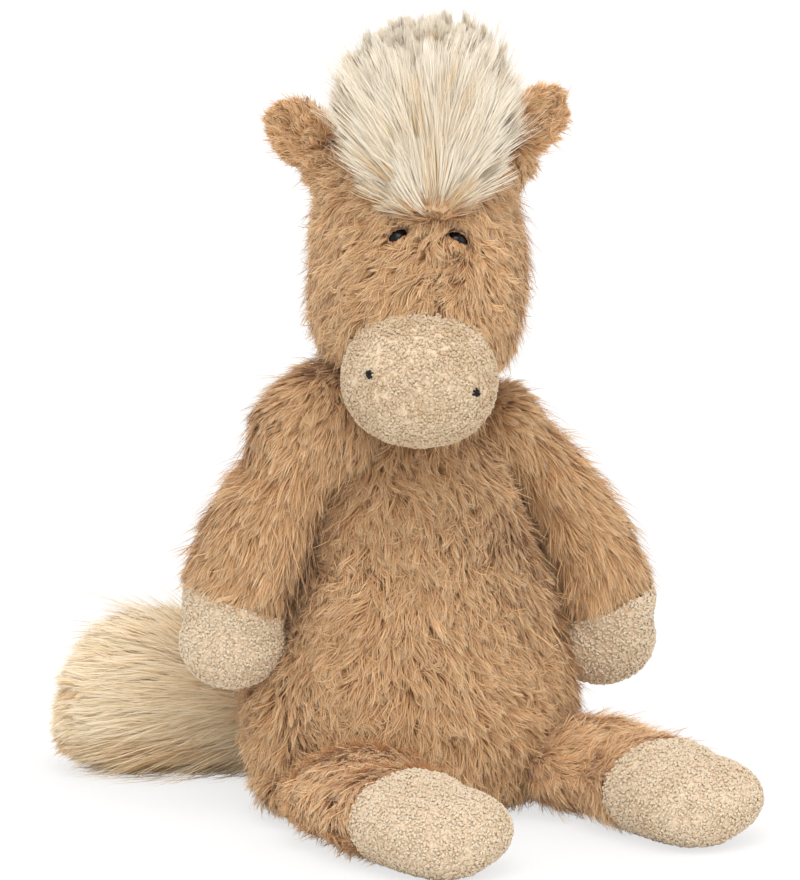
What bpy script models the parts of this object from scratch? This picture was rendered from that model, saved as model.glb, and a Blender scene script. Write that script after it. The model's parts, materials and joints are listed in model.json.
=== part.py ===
"""A seated plush horse: fur covers, stuffing, bean pouches, eyes, ears, forelock, mane and tail.

The horse faces -Y with its own left at +X. The origin is the middle of the flat seat under the
torso. Every cover's outer face is the mean height of its pile. Lengths are in metres.
"""

import math

import bmesh
import bpy
from mathutils import Matrix, Vector
from mathutils.bvhtree import BVHTree

# Cloth and clearances
wall = 0.006
gap = 0.0003
flat_depth = 0.0005
thread_radius = 0.0005
overrun = 0.004
cutter_span = 0.6
weld_distance = 0.00003

# Torso
torso_height = 0.188
torso_half_width = 0.079
torso_half_depth = 0.066
pouch_height = 0.036
flank_flat_depth = 0.0012
torso_segments = 8
torso_ring_shares = (
    (0.0, 0.76, 0.74),
    (0.07, 0.95, 0.95),
    (0.25, 1.05, 1.06),
    (0.5, 0.86, 0.9),
    (0.76, 0.61, 0.66),
    (0.95, 0.42, 0.46),
    (1.0, 0.22, 0.24),
)

# Closing seam on the back
stitch_foot = 0.088
stitch_length = 0.036
stitch_half_width = 0.0025
stitch_count = 9

# Neck
neck_radius = 0.019
neck_rise = 0.006
head_turn = math.radians(-27)
head_roll = math.radians(3.5)

# Head
head_rise = 0.006
head_height = 0.117
head_half_width = 0.0478
head_front = 0.066
head_back = 0.045
head_segments = 8
head_squareness = 0.86
head_ring_shares = (
    (0.0, 0.58, 0.4, 0.5),
    (0.06, 0.92, 0.84, 0.84),
    (0.27, 1.02, 1.05, 1.02),
    (0.5, 1.03, 0.94, 1.04),
    (0.74, 1.0, 0.77, 1.0),
    (0.93, 0.76, 0.54, 0.79),
    (1.0, 0.42, 0.28, 0.42),
)

# Muzzle
muzzle_height = 0.015
muzzle_half_width = 0.0352
muzzle_half_height = 0.0302
muzzle_half_depth = 0.031
muzzle_inset = 0.002
muzzle_segments = 8
muzzle_squareness = 0.9
muzzle_ring_shares = (
    (-1.0, 0.55),
    (-0.45, 0.97),
    (0.3, 1.03),
    (0.85, 0.7),
    (1.0, 0.34),
)

# Eyes
eye_radius = 0.005
eye_spacing = 0.0258
eye_height = 0.0765
eye_depth = 0.0042
eye_flange = 0.0008
shank_radius = 0.0016
shank_length = 0.011
washer_radius = 0.0055
washer_thickness = 0.0015
washer_drop = 0.0013
eye_steps = 12
eye_arc_steps = 4

# Nostril stitches
nostril_spacing = 0.048
nostril_height = 0.0185
nostril_radius = 0.0016
nostril_thickness = 0.0012
nostril_points = 6
nostril_notch_share = 0.45

# Forelock, mane and ears
forelock_height = 0.094
forelock_foot = 0.079
forelock_half_width = 0.039
forelock_half_depth = 0.022
forelock_front = 0.051
forelock_back = 0.026
forelock_segments = 8
forelock_ring_shares = (
    (0.0, 0.16, 0.14, 0.0),
    (0.18, 0.62, 0.5, 0.16),
    (0.4, 1.0, 0.85, 0.5),
    (0.62, 1.08, 1.05, 0.85),
    (0.84, 0.88, 0.95, 1.0),
    (0.97, 0.54, 0.6, 1.0),
    (1.0, 0.24, 0.3, 1.0),
)
mane_foot = 0.022
mane_height = 0.102
mane_half_width = 0.014
mane_half_depth = 0.014
mane_segments = 6
mane_ring_shares = (
    (0.0, 0.45, 0.4, 1.0),
    (0.2, 0.97, 0.92, 1.12),
    (0.74, 1.05, 1.06, 1.04),
    (1.0, 0.6, 0.7, 0.5),
)
ear_length = 0.029
ear_half_width = 0.0145
ear_root_radius = 0.0055
ear_lift = {"left": math.radians(40), "right": math.radians(30)}
ear_segments = 6
ear_ring_shares = (
    (0.0, 0.78, 0.5, 0.0),
    (0.22, 1.0, 1.06, 0.06),
    (0.72, 1.02, 0.98, 0.17),
    (1.0, 0.5, 0.5, 0.12),
)

# Arms
arm_length = 0.148
arm_radius = 0.0255
arm_depth_share = 0.92
shoulder_depth = {"left": 0.024, "right": 0.011}
shoulder_drop = 0.022
hand_length = 0.043
arm_flat_depth = 0.0008
flank_tilt = math.radians(20)
arm_swing = {"left": math.radians(-11), "right": math.radians(5)}
arm_segments = 8
arm_ring_shares = (
    (0.0, 0.28),
    (0.07, 0.56),
    (0.3, 0.86),
    (0.58, 1.08),
    (0.84, 1.0),
    (1.0, 0.48),
)

# Legs
leg_length = 0.112
leg_half_width = 0.030
leg_half_height = 0.0215
leg_spread = 0.014
hip_radius = 0.010
hip_spacing = 0.102
hip_height = 0.016
hip_sink = 0.0015
foot_length = 0.062
leg_segments = 8
leg_nose_shares = (
    (0.94, 0.4, 0.18, 0.0),
    (0.5, 0.86, 0.45, 0.5),
)
leg_ring_shares = (
    (0.07, 0.84, 0.64, 0.85),
    (0.24, 1.1, 1.04, 1.0),
    (0.55, 1.03, 1.04, 1.0),
    (0.88, 0.9, 0.86, 1.0),
    (1.0, 0.42, 0.42, 1.0),
)

# Tail
tail_length = 0.132
tail_half_width = 0.033
tail_half_height = 0.039
tail_height = 0.024
tail_turn = math.radians(57)
tail_core_radius = 0.008
tail_core_length = 0.060
tail_root_length = 0.004
tail_sink = 0.0015
tail_segments = 8
tail_ring_shares = (
    (0.0, 0.36, 0.34),
    (0.17, 0.64, 0.64),
    (0.5, 1.06, 1.06),
    (0.86, 0.9, 0.82),
    (1.0, 0.4, 0.3),
)

# Round helper shapes
ball_segments = 20
ball_rings = 10
up = Vector((0, 0, 1))
sides = {"left": 1, "right": -1}


def clear_scene():
    """Removes whatever the scene holds."""
    for obj in list(bpy.data.objects):
        bpy.data.objects.remove(obj, do_unlink=True)


def new_collection(name):
    """A collection in the scene."""
    collection = bpy.data.collections.new(name)
    bpy.context.scene.collection.children.link(collection)
    return collection


def linear(channel):
    """One sRGB channel from 0 to 255 as a linear value."""
    value = channel / 255
    return value / 12.92 if value <= 0.04045 else ((value + 0.055) / 1.055) ** 2.4


def new_material(name, colour, roughness, metallic=0.0):
    """A Principled material of one colour."""
    material = bpy.data.materials.new(name)
    material.use_nodes = True
    shader = material.node_tree.nodes["Principled BSDF"]
    rgba = [linear(channel) for channel in colour] + [1.0]
    shader.inputs["Base Color"].default_value = rgba
    shader.inputs["Roughness"].default_value = roughness
    shader.inputs["Metallic"].default_value = metallic
    material.diffuse_color = rgba
    return material


def round_gain(segments):
    """How much wider a cage of this many sides is than the round it smooths to."""
    return 3 / (2 + math.cos(math.tau / segments))


def section(centre, across, along, segments, squareness=1.0):
    """Cage points of one rounded section, from its centre and its two half axes."""
    gain = round_gain(segments)
    points = []
    for step in range(segments):
        angle = math.tau * (step + 0.5) / segments
        cosine = math.cos(angle)
        sine = math.sin(angle)
        reach_across = math.copysign(abs(cosine) ** squareness, cosine)
        reach_along = math.copysign(abs(sine) ** squareness, sine)
        points.append(centre + gain * (across * reach_across + along * reach_along))
    return points


def cage(name, sections):
    """A closed mesh through sections of equally many points."""
    bm = bmesh.new()
    rings = [[bm.verts.new(point) for point in points] for points in sections]
    for lower, upper in zip(rings, rings[1:]):
        for step in range(len(lower)):
            following = (step + 1) % len(lower)
            bm.faces.new((lower[step], lower[following], upper[following], upper[step]))
    bm.faces.new(rings[0])
    bm.faces.new(rings[-1])
    bmesh.ops.recalc_face_normals(bm, faces=bm.faces)
    mesh = bpy.data.meshes.new(name)
    bm.to_mesh(mesh)
    bm.free()
    mesh.shade_smooth()
    return mesh


def place(name, mesh, parent=None, material=None):
    """An object of this mesh: a piece if it has a material, or else a hidden guide or cutter."""
    obj = bpy.data.objects.new(name, mesh)
    if material is None:
        guides.objects.link(obj)
        obj.hide_render = True
        obj.display_type = "WIRE"
    else:
        pieces.objects.link(obj)
        if not mesh.materials:
            mesh.materials.append(material)
    obj.parent = parent
    return obj


def empty(name, location, rotation=(0, 0, 0), parent=None):
    """An empty on a joint, which carries the pieces that move there."""
    obj = bpy.data.objects.new(name, None)
    pieces.objects.link(obj)
    obj.empty_display_size = neck_radius
    obj.location = location
    obj.rotation_euler = rotation
    obj.parent = parent
    return obj


def smooth(obj):
    """Rounds a cage."""
    modifier = obj.modifiers.new("Smooth", "SUBSURF")
    modifier.levels = 1
    modifier.render_levels = 1
    return obj


def grow(obj, distance):
    """Moves a smoothed surface out by this distance, or in where it is negative."""
    modifier = obj.modifiers.new("Grow", "DISPLACE")
    modifier.mid_level = 0
    modifier.strength = distance
    return obj


def hollow(obj):
    """Leaves a wall under a smoothed surface."""
    modifier = obj.modifiers.new("Wall", "SOLIDIFY")
    modifier.thickness = wall
    modifier.offset = -1
    modifier.use_even_offset = False
    return obj


def boolean(obj, other, operation):
    """A Boolean with another object."""
    modifier = obj.modifiers.new(operation.title(), "BOOLEAN")
    modifier.operation = operation
    modifier.object = other


def cut(obj, *cutters):
    """Takes the cutters out of a piece."""
    for cutter in cutters:
        boolean(obj, cutter, "DIFFERENCE")
    return obj


def fill_depth():
    """How far stuffing lies under a cover's outer face."""
    return wall + gap


def cover(name, mesh, parent, material):
    """A cover of one wall over this form."""
    return hollow(smooth(place(name, mesh.copy(), parent, material)))


def stuffing(name, mesh, parent, material):
    """The stuffing inside this form's cover."""
    return grow(smooth(place(name, mesh.copy(), parent, material)), -fill_depth())


def guide(name, mesh, parent=None, distance=0.0):
    """A hidden copy of a form, grown by this distance."""
    obj = smooth(place(name, mesh.copy(), parent))
    return grow(obj, distance) if distance else obj


def evaluated_mesh(obj):
    """The object's mesh with its modifiers, in the object's own coordinates."""
    bpy.context.view_layer.update()
    graph = bpy.context.evaluated_depsgraph_get()
    return bpy.data.meshes.new_from_object(obj.evaluated_get(graph))


def reach(obj, direction):
    """How far the object reaches along a direction, in its own coordinates."""
    mesh = evaluated_mesh(obj)
    farthest = max(vertex.co.dot(direction) for vertex in mesh.vertices)
    bpy.data.meshes.remove(mesh)
    return farthest


def farthest(obj, direction):
    """The middle of what reaches farthest along a direction, level with the farthest point."""
    mesh = evaluated_mesh(obj)
    limit = reach(obj, direction)
    points = [vertex.co.copy() for vertex in mesh.vertices]
    bpy.data.meshes.remove(mesh)
    outer = [point for point in points if point.dot(direction) > limit - gap]
    middle = sum(outer, Vector()) / len(outer)
    return middle + direction * (limit - middle.dot(direction))


def surface_hit(obj, start, direction):
    """Where a line from inside the object leaves it, and the face's normal there."""
    mesh = evaluated_mesh(obj)
    bm = bmesh.new()
    bm.from_mesh(mesh)
    point, normal, _, _ = BVHTree.FromBMesh(bm).ray_cast(start, direction)
    bm.free()
    bpy.data.meshes.remove(mesh)
    return point, normal


def facing(point, normal):
    """A matrix at a point whose Z axis is the normal."""
    return Matrix.Translation(point) @ normal.to_track_quat("Z", "Y").to_matrix().to_4x4()


def half_space(name, point, normal, parent=None):
    """A cutter that fills everything beyond a plane, on the side its normal points to."""
    bm = bmesh.new()
    bmesh.ops.create_cube(bm, size=cutter_span)
    bmesh.ops.translate(bm, verts=bm.verts, vec=up * cutter_span / 2)
    mesh = bpy.data.meshes.new(name)
    bm.to_mesh(mesh)
    bm.free()
    obj = place(name, mesh, parent)
    obj.matrix_local = facing(point, normal)
    return obj


def ball(name, radius, centre, parent=None, material=None):
    """A ball whose poles lie on Z."""
    bm = bmesh.new()
    bmesh.ops.create_uvsphere(bm, u_segments=ball_segments, v_segments=ball_rings, radius=radius)
    mesh = bpy.data.meshes.new(name)
    bm.to_mesh(mesh)
    bm.free()
    mesh.shade_smooth()
    obj = place(name, mesh, parent, material)
    obj.location = centre
    return obj


def socket_radius(radius):
    """The radius of a ball cutter whose flat facets still clear a ball of this radius."""
    return (radius + gap) / math.cos(math.pi / ball_segments) / math.cos(math.pi / (2 * ball_rings))


def turned(name, profile, matrix, parent, material=None):
    """A profile in the XZ plane turned about Z, then placed by a matrix.

    A profile that starts off the axis is closed to a ring.
    """
    mesh = bpy.data.meshes.new(name)
    edges = [(step, step + 1) for step in range(len(profile) - 1)]
    if profile[0][0] > 0:
        edges.append((len(profile) - 1, 0))
    mesh.from_pydata([(radius, 0, height) for radius, height in profile], edges, [])
    obj = place(name, mesh, parent, material)
    obj.matrix_local = matrix
    modifier = obj.modifiers.new("Turn", "SCREW")
    modifier.axis = "Z"
    modifier.steps = eye_steps
    modifier.render_steps = eye_steps
    modifier.use_merge_vertices = True
    modifier.merge_threshold = weld_distance
    return obj


def cylinder_profile(radius, bottom, top):
    """The profile of a plain solid cylinder."""
    return [(0, top), (radius, top), (radius, bottom), (0, bottom)]


def torso_form():
    """The torso's cage, moved so that its bottom lies the flat's depth under the floor."""
    sections = []
    for height_share, width_share, depth_share in torso_ring_shares:
        centre = up * torso_height * height_share
        across = Vector((torso_half_width * width_share, 0, 0))
        along = Vector((0, torso_half_depth * depth_share, 0))
        sections.append(section(centre, across, along, torso_segments))
    mesh = cage("torso_form", sections)
    probe = guide("torso_probe", mesh)
    lowest = -reach(probe, -up)
    mesh.transform(Matrix.Translation(up * (-flat_depth - lowest)))
    bpy.data.objects.remove(probe)
    return mesh


def flank_normal(side):
    """The direction square to the torso's flank on one side."""
    return Vector((side * math.cos(flank_tilt), 0, math.sin(flank_tilt)))


def flank_distance():
    """How far the flat flanks lie from the origin along their normals."""
    return reach(torso_guide, flank_normal(1)) - flank_flat_depth


def shoulder_point(name, side):
    """The middle of a shoulder, on the flat flank."""
    height = torso_height - shoulder_depth[name]
    across = (flank_distance() - height * math.sin(flank_tilt)) / math.cos(flank_tilt)
    return Vector((side * across, 0, height))


def hip_point(side):
    """The middle of a hip, its radius in front of the torso's lower corner."""
    start = Vector((side * hip_spacing / 2, 0, hip_height))
    point, _ = surface_hit(torso_guide, start, Vector((0, -1, 0)))
    return point + Vector((0, -(hip_radius + gap - hip_sink), 0))


def tail_point():
    """The middle of the tail's root, its radius behind the torso."""
    point, _ = surface_hit(torso_guide, up * tail_height, Vector((0, 1, 0)))
    return point + Vector((0, tail_core_radius + gap - tail_sink, 0))


def neck_point():
    """The middle of the neck, above the torso."""
    return up * (reach(torso_guide, up) + neck_rise)


def torso_cutters():
    """What is taken out of the torso: the floor, flanks, neck, hips and tail root."""
    cutters = [
        floor_cutter,
        ball("neck_socket", socket_radius(neck_radius), neck_point()),
        ball("tail_socket", socket_radius(tail_core_radius), tail_point()),
    ]
    for name, side in sides.items():
        normal = flank_normal(side)
        point = normal * flank_distance()
        cutters.append(half_space(f"flank_{name}_cut", point, normal))
        cutters.append(ball(f"hip_socket_{name}", socket_radius(hip_radius), hip_point(side)))
    return cutters


def make_torso():
    """The torso's cover, stuffing and bean pouch."""
    cutters = torso_cutters()
    cut(cover("torso_cover", torso_mesh, None, fur), *cutters)
    above = half_space("pouch_top_cut", up * (pouch_height - gap / 2), up)
    below = half_space("filling_foot_cut", up * (pouch_height + gap / 2), -up)
    cut(stuffing("torso_fibre_fill", torso_mesh, None, fibre), cutters[1], below)
    cut(stuffing("seat_bean_pouch", torso_mesh, None, pouch_cotton), above)


def make_closing_stitch():
    """The zigzag thread that closes the seam on the back."""
    curve = bpy.data.curves.new("closing_stitch", "CURVE")
    curve.dimensions = "3D"
    curve.bevel_depth = thread_radius
    curve.bevel_resolution = 1
    curve.use_fill_caps = True
    spline = curve.splines.new("POLY")
    spline.points.add(stitch_count - 1)
    for step, knot in enumerate(spline.points):
        across = stitch_half_width if step % 2 else -stitch_half_width
        height = stitch_foot + stitch_length * step / (stitch_count - 1)
        start = Vector((across, 0, height))
        point, normal = surface_hit(torso_guide, start, Vector((0, 1, 0)))
        point += normal * (thread_radius + 2 * gap)
        knot.co = (*point, 1)
    obj = bpy.data.objects.new("closing_stitch", curve)
    curve.materials.append(tan_thread)
    pieces.objects.link(obj)


def head_form():
    """The head's cage, in the frame of the neck's middle with the face towards -Y."""
    sections = []
    for height_share, width_share, front_share, back_share in head_ring_shares:
        front = head_front * front_share
        back = head_back * back_share
        height = head_rise + head_height * height_share
        centre = Vector((0, (back - front) / 2, height))
        across = Vector((head_half_width * width_share, 0, 0))
        along = Vector((0, (back + front) / 2, 0))
        sections.append(section(centre, across, along, head_segments, head_squareness))
    return cage("head_form", sections)


def muzzle_form():
    """The muzzle's cage, set into the front of the head."""
    inside = up * (head_rise + wall + muzzle_height)
    point, _ = surface_hit(head_guide, inside, Vector((0, -1, 0)))
    start = Vector((0, point.y + muzzle_inset, muzzle_height))
    sections = []
    for depth_share, size_share in muzzle_ring_shares:
        centre = start + Vector((0, -muzzle_half_depth * depth_share, 0))
        across = Vector((muzzle_half_width * size_share, 0, 0))
        along = up * muzzle_half_height * size_share
        sections.append(section(centre, across, along, muzzle_segments, muzzle_squareness))
    return cage("muzzle_form", sections)


def eye_matrix(side):
    """Where an eye's back rests, facing straight out of the head."""
    start = Vector((side * eye_spacing / 2, 0, eye_height))
    point, normal = surface_hit(head_guide, start, Vector((0, -1, 0)))
    return facing(point - normal * eye_depth, normal)


def eye_profile(growth=0.0):
    """A domed button with a shank behind it, from the top of the dome down."""
    radius = eye_radius + growth
    dome = []
    for step in range(eye_arc_steps + 1):
        angle = math.pi / 2 * step / eye_arc_steps
        dome.append((radius * math.sin(angle), radius * math.cos(angle)))
    shank = shank_radius + growth
    tail_end = -shank_length - growth
    rim = [(radius, -eye_flange - growth), (shank, -eye_flange - growth)]
    return dome + rim + [(shank, tail_end), (0, tail_end)]


def washer_height():
    """The outer face of an eye's washer, measured from the back of the eye."""
    return eye_depth - wall - washer_drop


def make_eye(name, side):
    """An eye and the washer that holds it, with the cutters for both."""
    matrix = eye_matrix(side)
    turned(f"eye_{name}", eye_profile(), matrix, neck, glossy_black)
    top = washer_height()
    bottom = top - washer_thickness
    bore = shank_radius + gap
    ring = [(bore, top), (washer_radius, top), (washer_radius, bottom), (bore, bottom)]
    turned(f"eye_washer_{name}", ring, matrix, neck, white_plastic)
    eye_hole = turned(f"eye_hole_{name}", eye_profile(gap), matrix, neck)
    pocket = cylinder_profile(washer_radius + gap, bottom - gap, top + washer_drop + overrun)
    washer_hole = turned(f"washer_hole_{name}", pocket, matrix, neck)
    return eye_hole, washer_hole


def star_curve(name, radius, thickness):
    """A flat star with rounded points, which stands for crossing stitches."""
    curve = bpy.data.curves.new(name, "CURVE")
    curve.dimensions = "2D"
    curve.fill_mode = "BOTH"
    curve.extrude = thickness / 2
    spline = curve.splines.new("POLY")
    spline.use_cyclic_u = True
    spline.points.add(2 * nostril_points - 1)
    for step, knot in enumerate(spline.points):
        angle = math.pi * step / nostril_points
        distance = radius * (nostril_notch_share if step % 2 else 1)
        knot.co = (distance * math.cos(angle), distance * math.sin(angle), 0, 1)
    return curve


def make_nostril(name, side):
    """A nostril's crossed stitches and the cutter for the dimple they lie in."""
    start = Vector((side * nostril_spacing / 2, muzzle_centre_y, nostril_height))
    point, normal = surface_hit(muzzle_guide, start, Vector((0, -1, 0)))
    matrix = facing(point, normal)
    curve = star_curve(f"nostril_stitch_{name}", nostril_radius, nostril_thickness)
    curve.materials.append(black_thread)
    obj = bpy.data.objects.new(f"nostril_stitch_{name}", curve)
    pieces.objects.link(obj)
    obj.parent = neck
    obj.matrix_local = matrix
    depth = nostril_thickness / 2 + gap
    profile = cylinder_profile(nostril_radius + gap, -depth, overrun)
    return turned(f"nostril_hole_{name}", profile, matrix, neck)


def make_head():
    """The head's cover and stuffing, the muzzle, the eyes and the nostrils."""
    neck_socket = ball("head_neck_socket", socket_radius(neck_radius), Vector(), neck)
    inner_muzzle = guide("inner_muzzle", muzzle_mesh, neck, -wall)
    head_cover = cover("head_cover", head_mesh, neck, fur)
    cut(head_cover, neck_socket, inner_muzzle)
    head_fill = stuffing("head_fibre_fill", head_mesh, neck, fibre)
    boolean(head_fill, guide("muzzle_filling", muzzle_mesh, neck, -fill_depth()), "UNION")
    cut(head_fill, neck_socket)
    for name, side in sides.items():
        eye_hole, washer_hole = make_eye(name, side)
        cut(head_cover, eye_hole)
        cut(head_fill, eye_hole, washer_hole)
    muzzle_cover = cover("muzzle_cover", muzzle_mesh, neck, boucle)
    cut(muzzle_cover, grown_head, neck_socket)
    for name, side in sides.items():
        cut(muzzle_cover, make_nostril(name, side))


def forelock_form():
    """The fan of long pile on the crown, from its tip on the forehead up."""
    sections = []
    for height_share, width_share, depth_share, back_share in forelock_ring_shares:
        y = -forelock_front + (forelock_front - forelock_back) * back_share
        centre = Vector((0, y, forelock_foot + forelock_height * height_share))
        across = Vector((forelock_half_width * width_share, 0, 0))
        along = Vector((0, forelock_half_depth * depth_share, 0))
        sections.append(section(centre, across, along, forelock_segments))
    return cage("forelock_form", sections)


def mane_form():
    """The strip of long pile down the back of the head."""
    sections = []
    for height_share, width_share, depth_share, back_share in mane_ring_shares:
        centre = Vector((0, head_back * back_share, mane_foot + mane_height * height_share))
        across = Vector((mane_half_width * width_share, 0, 0))
        along = Vector((0, mane_half_depth * depth_share, 0))
        sections.append(section(centre, across, along, mane_segments))
    return cage("mane_form", sections)


def ear_form(side):
    """An ear's cage: X runs out to the tip, Z up along the root, Y through its thickness."""
    sections = []
    for length_share, width_share, thickness_share, rise_share in ear_ring_shares:
        out = -ear_root_radius + (ear_length + ear_root_radius) * length_share
        centre = Vector((side * out, 0, ear_half_width * rise_share))
        across = Vector((0, ear_root_radius * thickness_share, 0))
        along = up * ear_half_width * width_share
        sections.append(section(centre, across, along, ear_segments))
    return cage(f"ear_form_{side}", sections)


def ear_point(name, side):
    """The middle of an ear's root, its radius off the head."""
    out = Vector((side * math.cos(ear_lift[name]), 0, math.sin(ear_lift[name])))
    return farthest(head_guide, out) + out * (gap + ear_root_radius)


def make_ear(name, side):
    """An ear's back and lining on the empty at its root."""
    rotation = (0, -side * ear_lift[name], 0)
    root = empty(f"ear_root_{name}", ear_point(name, side), rotation, neck)
    mesh = ear_form(side)
    back = Vector((0, 1, 0))
    front_half = half_space(f"ear_front_half_{name}", back * gap / 2, -back, root)
    back_half = half_space(f"ear_back_half_{name}", -back * gap / 2, back, root)
    cut(smooth(place(f"ear_back_{name}", mesh.copy(), root, fur)), front_half)
    cut(smooth(place(f"ear_lining_{name}", mesh.copy(), root, fur)), back_half)


def limb_split(name, joint, length, away):
    """Cutters on both sides of the seam where a limb's fur meets its looped end."""
    beyond = half_space(f"{name}_beyond", away * (length - gap / 2), away, joint)
    before = half_space(f"{name}_before", away * (length + gap / 2), -away, joint)
    return beyond, before


def arm_form(side):
    """An arm's cage: it hangs along -Z, with X out from the flank."""
    sections = []
    for length_share, size_share in arm_ring_shares:
        radius = arm_radius * size_share
        depth = radius * arm_depth_share
        out = depth - arm_flat_depth
        centre = Vector((side * out, 0, shoulder_drop - arm_length * length_share))
        across = Vector((depth, 0, 0))
        along = Vector((0, radius, 0))
        sections.append(section(centre, across, along, arm_segments))
    return cage(f"arm_form_{side}", sections)


def make_arm(name, side):
    """An arm's sleeve and stuffing, and the hand's cover and bean pouch."""
    rotation = (arm_swing[name], -side * flank_tilt, 0)
    joint = empty(f"shoulder_{name}", shoulder_point(name, side), rotation)
    mesh = arm_form(side)
    wrist = arm_length - shoulder_drop - hand_length
    beyond, before = limb_split(f"wrist_{name}", joint, wrist, -up)
    out = Vector((side, 0, 0))
    flank_cut = half_space(f"arm_flank_cut_{name}", out * gap, -out, joint)
    cut(cover(f"arm_cover_{name}", mesh, joint, fur), beyond, flank_cut)
    cut(stuffing(f"arm_fibre_fill_{name}", mesh, joint, fibre), beyond)
    cut(cover(f"hand_cover_{name}", mesh, joint, boucle), before, flank_cut)
    cut(stuffing(f"hand_bean_pouch_{name}", mesh, joint, pouch_cotton), before)


def leg_form(side, height):
    """A leg's cage: it lies along -Y from the hip at this height, on the floor."""
    sections = []
    for back_share, radius_share, width_share, spread_share in leg_nose_shares:
        out = side * leg_spread * spread_share
        centre = Vector((out, hip_radius * back_share, 0))
        across = Vector((leg_half_width * width_share, 0, 0))
        sections.append(section(centre, across, up * hip_radius * radius_share, leg_segments))
    for length_share, width_share, height_share, spread_share in leg_ring_shares:
        half_height = leg_half_height * height_share
        rise = max(half_height - flat_depth - height, 0)
        out = side * leg_spread * spread_share
        centre = Vector((out, -leg_length * length_share, rise))
        across = Vector((leg_half_width * width_share, 0, 0))
        sections.append(section(centre, across, up * half_height, leg_segments))
    return cage(f"leg_form_{side}", sections)


def make_leg(name, side):
    """A leg's cover and stuffing, and the foot's cover and bean pouch."""
    point = hip_point(side)
    joint = empty(f"hip_{name}", point)
    mesh = leg_form(side, point.z)
    forward = Vector((0, -1, 0))
    beyond, before = limb_split(f"ankle_{name}", joint, leg_length - foot_length, forward)
    cut(cover(f"leg_cover_{name}", mesh, joint, fur), beyond, floor_cutter)
    cut(stuffing(f"leg_fibre_fill_{name}", mesh, joint, fibre), beyond)
    cut(cover(f"foot_cover_{name}", mesh, joint, boucle), before, floor_cutter)
    cut(stuffing(f"foot_bean_pouch_{name}", mesh, joint, pouch_cotton), before)


def tail_form(height):
    """The tail's cage: it lies along +Y from its root at this height, on the floor."""
    sections = []
    for length_share, width_share, height_share in tail_ring_shares:
        half_height = tail_half_height * height_share
        distance = tail_root_length + (tail_length - tail_root_length) * length_share
        rise = max(half_height - flat_depth - height, 0)
        centre = Vector((0, distance, rise))
        across = Vector((tail_half_width * width_share, 0, 0))
        sections.append(section(centre, across, up * half_height, tail_segments))
    return cage("tail_form", sections)


def core_profile(radius, length):
    """A rod with a round end at the origin, from its far end down."""
    dome = []
    for step in range(2 * eye_arc_steps + 1):
        angle = math.pi / 2 * step / (2 * eye_arc_steps)
        dome.append((radius * math.cos(angle), -radius * math.sin(angle)))
    dome[-1] = (0, -radius)
    return [(0, length), (radius, length)] + dome


def make_tail():
    """The tail's stuffed core and the long pile around it."""
    point = tail_point()
    joint = empty("tail_root", point, (0, 0, tail_turn))
    mesh = tail_form(point.z)
    along = facing(Vector(), Vector((0, 1, 0)))
    core = core_profile(tail_core_radius, tail_core_length)
    turned("tail_core", core, along, joint, fur)
    wide = core_profile(tail_core_radius + gap, tail_core_length + gap)
    bore = turned("tail_bore", wide, along, joint)
    cut(smooth(place("tail_fur", mesh, joint, long_fur)), bore, floor_cutter)


clear_scene()
pieces = new_collection("plush_horse")
guides = new_collection("cutters")

fur = new_material("fur_camel", (200, 155, 115), 0.95)
boucle = new_material("boucle_cream", (225, 208, 178), 0.95)
long_fur = new_material("long_fur_cream", (228, 212, 184), 0.9)
fibre = new_material("fibre_fill", (240, 240, 236), 0.95)
pouch_cotton = new_material("pouch_cotton", (214, 206, 190), 0.9)
glossy_black = new_material("eye_black", (12, 11, 11), 0.08)
white_plastic = new_material("washer_white", (225, 225, 222), 0.5)
black_thread = new_material("thread_black", (24, 22, 21), 0.8)
tan_thread = new_material("thread_tan", (188, 148, 110), 0.8)

floor_cutter = half_space("floor_cut", Vector(), -up)
torso_mesh = torso_form()
torso_guide = guide("torso_guide", torso_mesh)
make_torso()
make_closing_stitch()

ball("neck_fibre_plug", neck_radius, neck_point(), None, fibre)
neck = empty("neck", neck_point(), (0, head_roll, head_turn))
head_mesh = head_form()
head_guide = guide("head_guide", head_mesh, neck)
grown_head = guide("grown_head", head_mesh, neck, gap)
muzzle_mesh = muzzle_form()
muzzle_guide = guide("muzzle_guide", muzzle_mesh, neck)
muzzle_centre_y = sum(vertex.co.y for vertex in muzzle_mesh.vertices) / len(muzzle_mesh.vertices)
make_head()
cut(smooth(place("forelock", forelock_form(), neck, long_fur)), grown_head)
cut(smooth(place("mane", mane_form(), neck, long_fur)), grown_head)
make_tail()
for side_name, side_sign in sides.items():
    make_ear(side_name, side_sign)
    make_arm(side_name, side_sign)
    make_leg(side_name, side_sign)
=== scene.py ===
"""The looks of a seated plush horse: camel fur, looped cream cloth, long cream pile, eyes and threads.

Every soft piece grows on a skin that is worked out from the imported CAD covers, so it lies where they are.
Lengths are in metres and angles in radians, but each kind of pile gives its angles in degrees.
"""

import json
import math
from collections import namedtuple

import bpy
import numpy as np
from mathutils import Matrix, Vector
from mathutils.bvhtree import BVHTree
from mathutils.kdtree import KDTree


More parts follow.
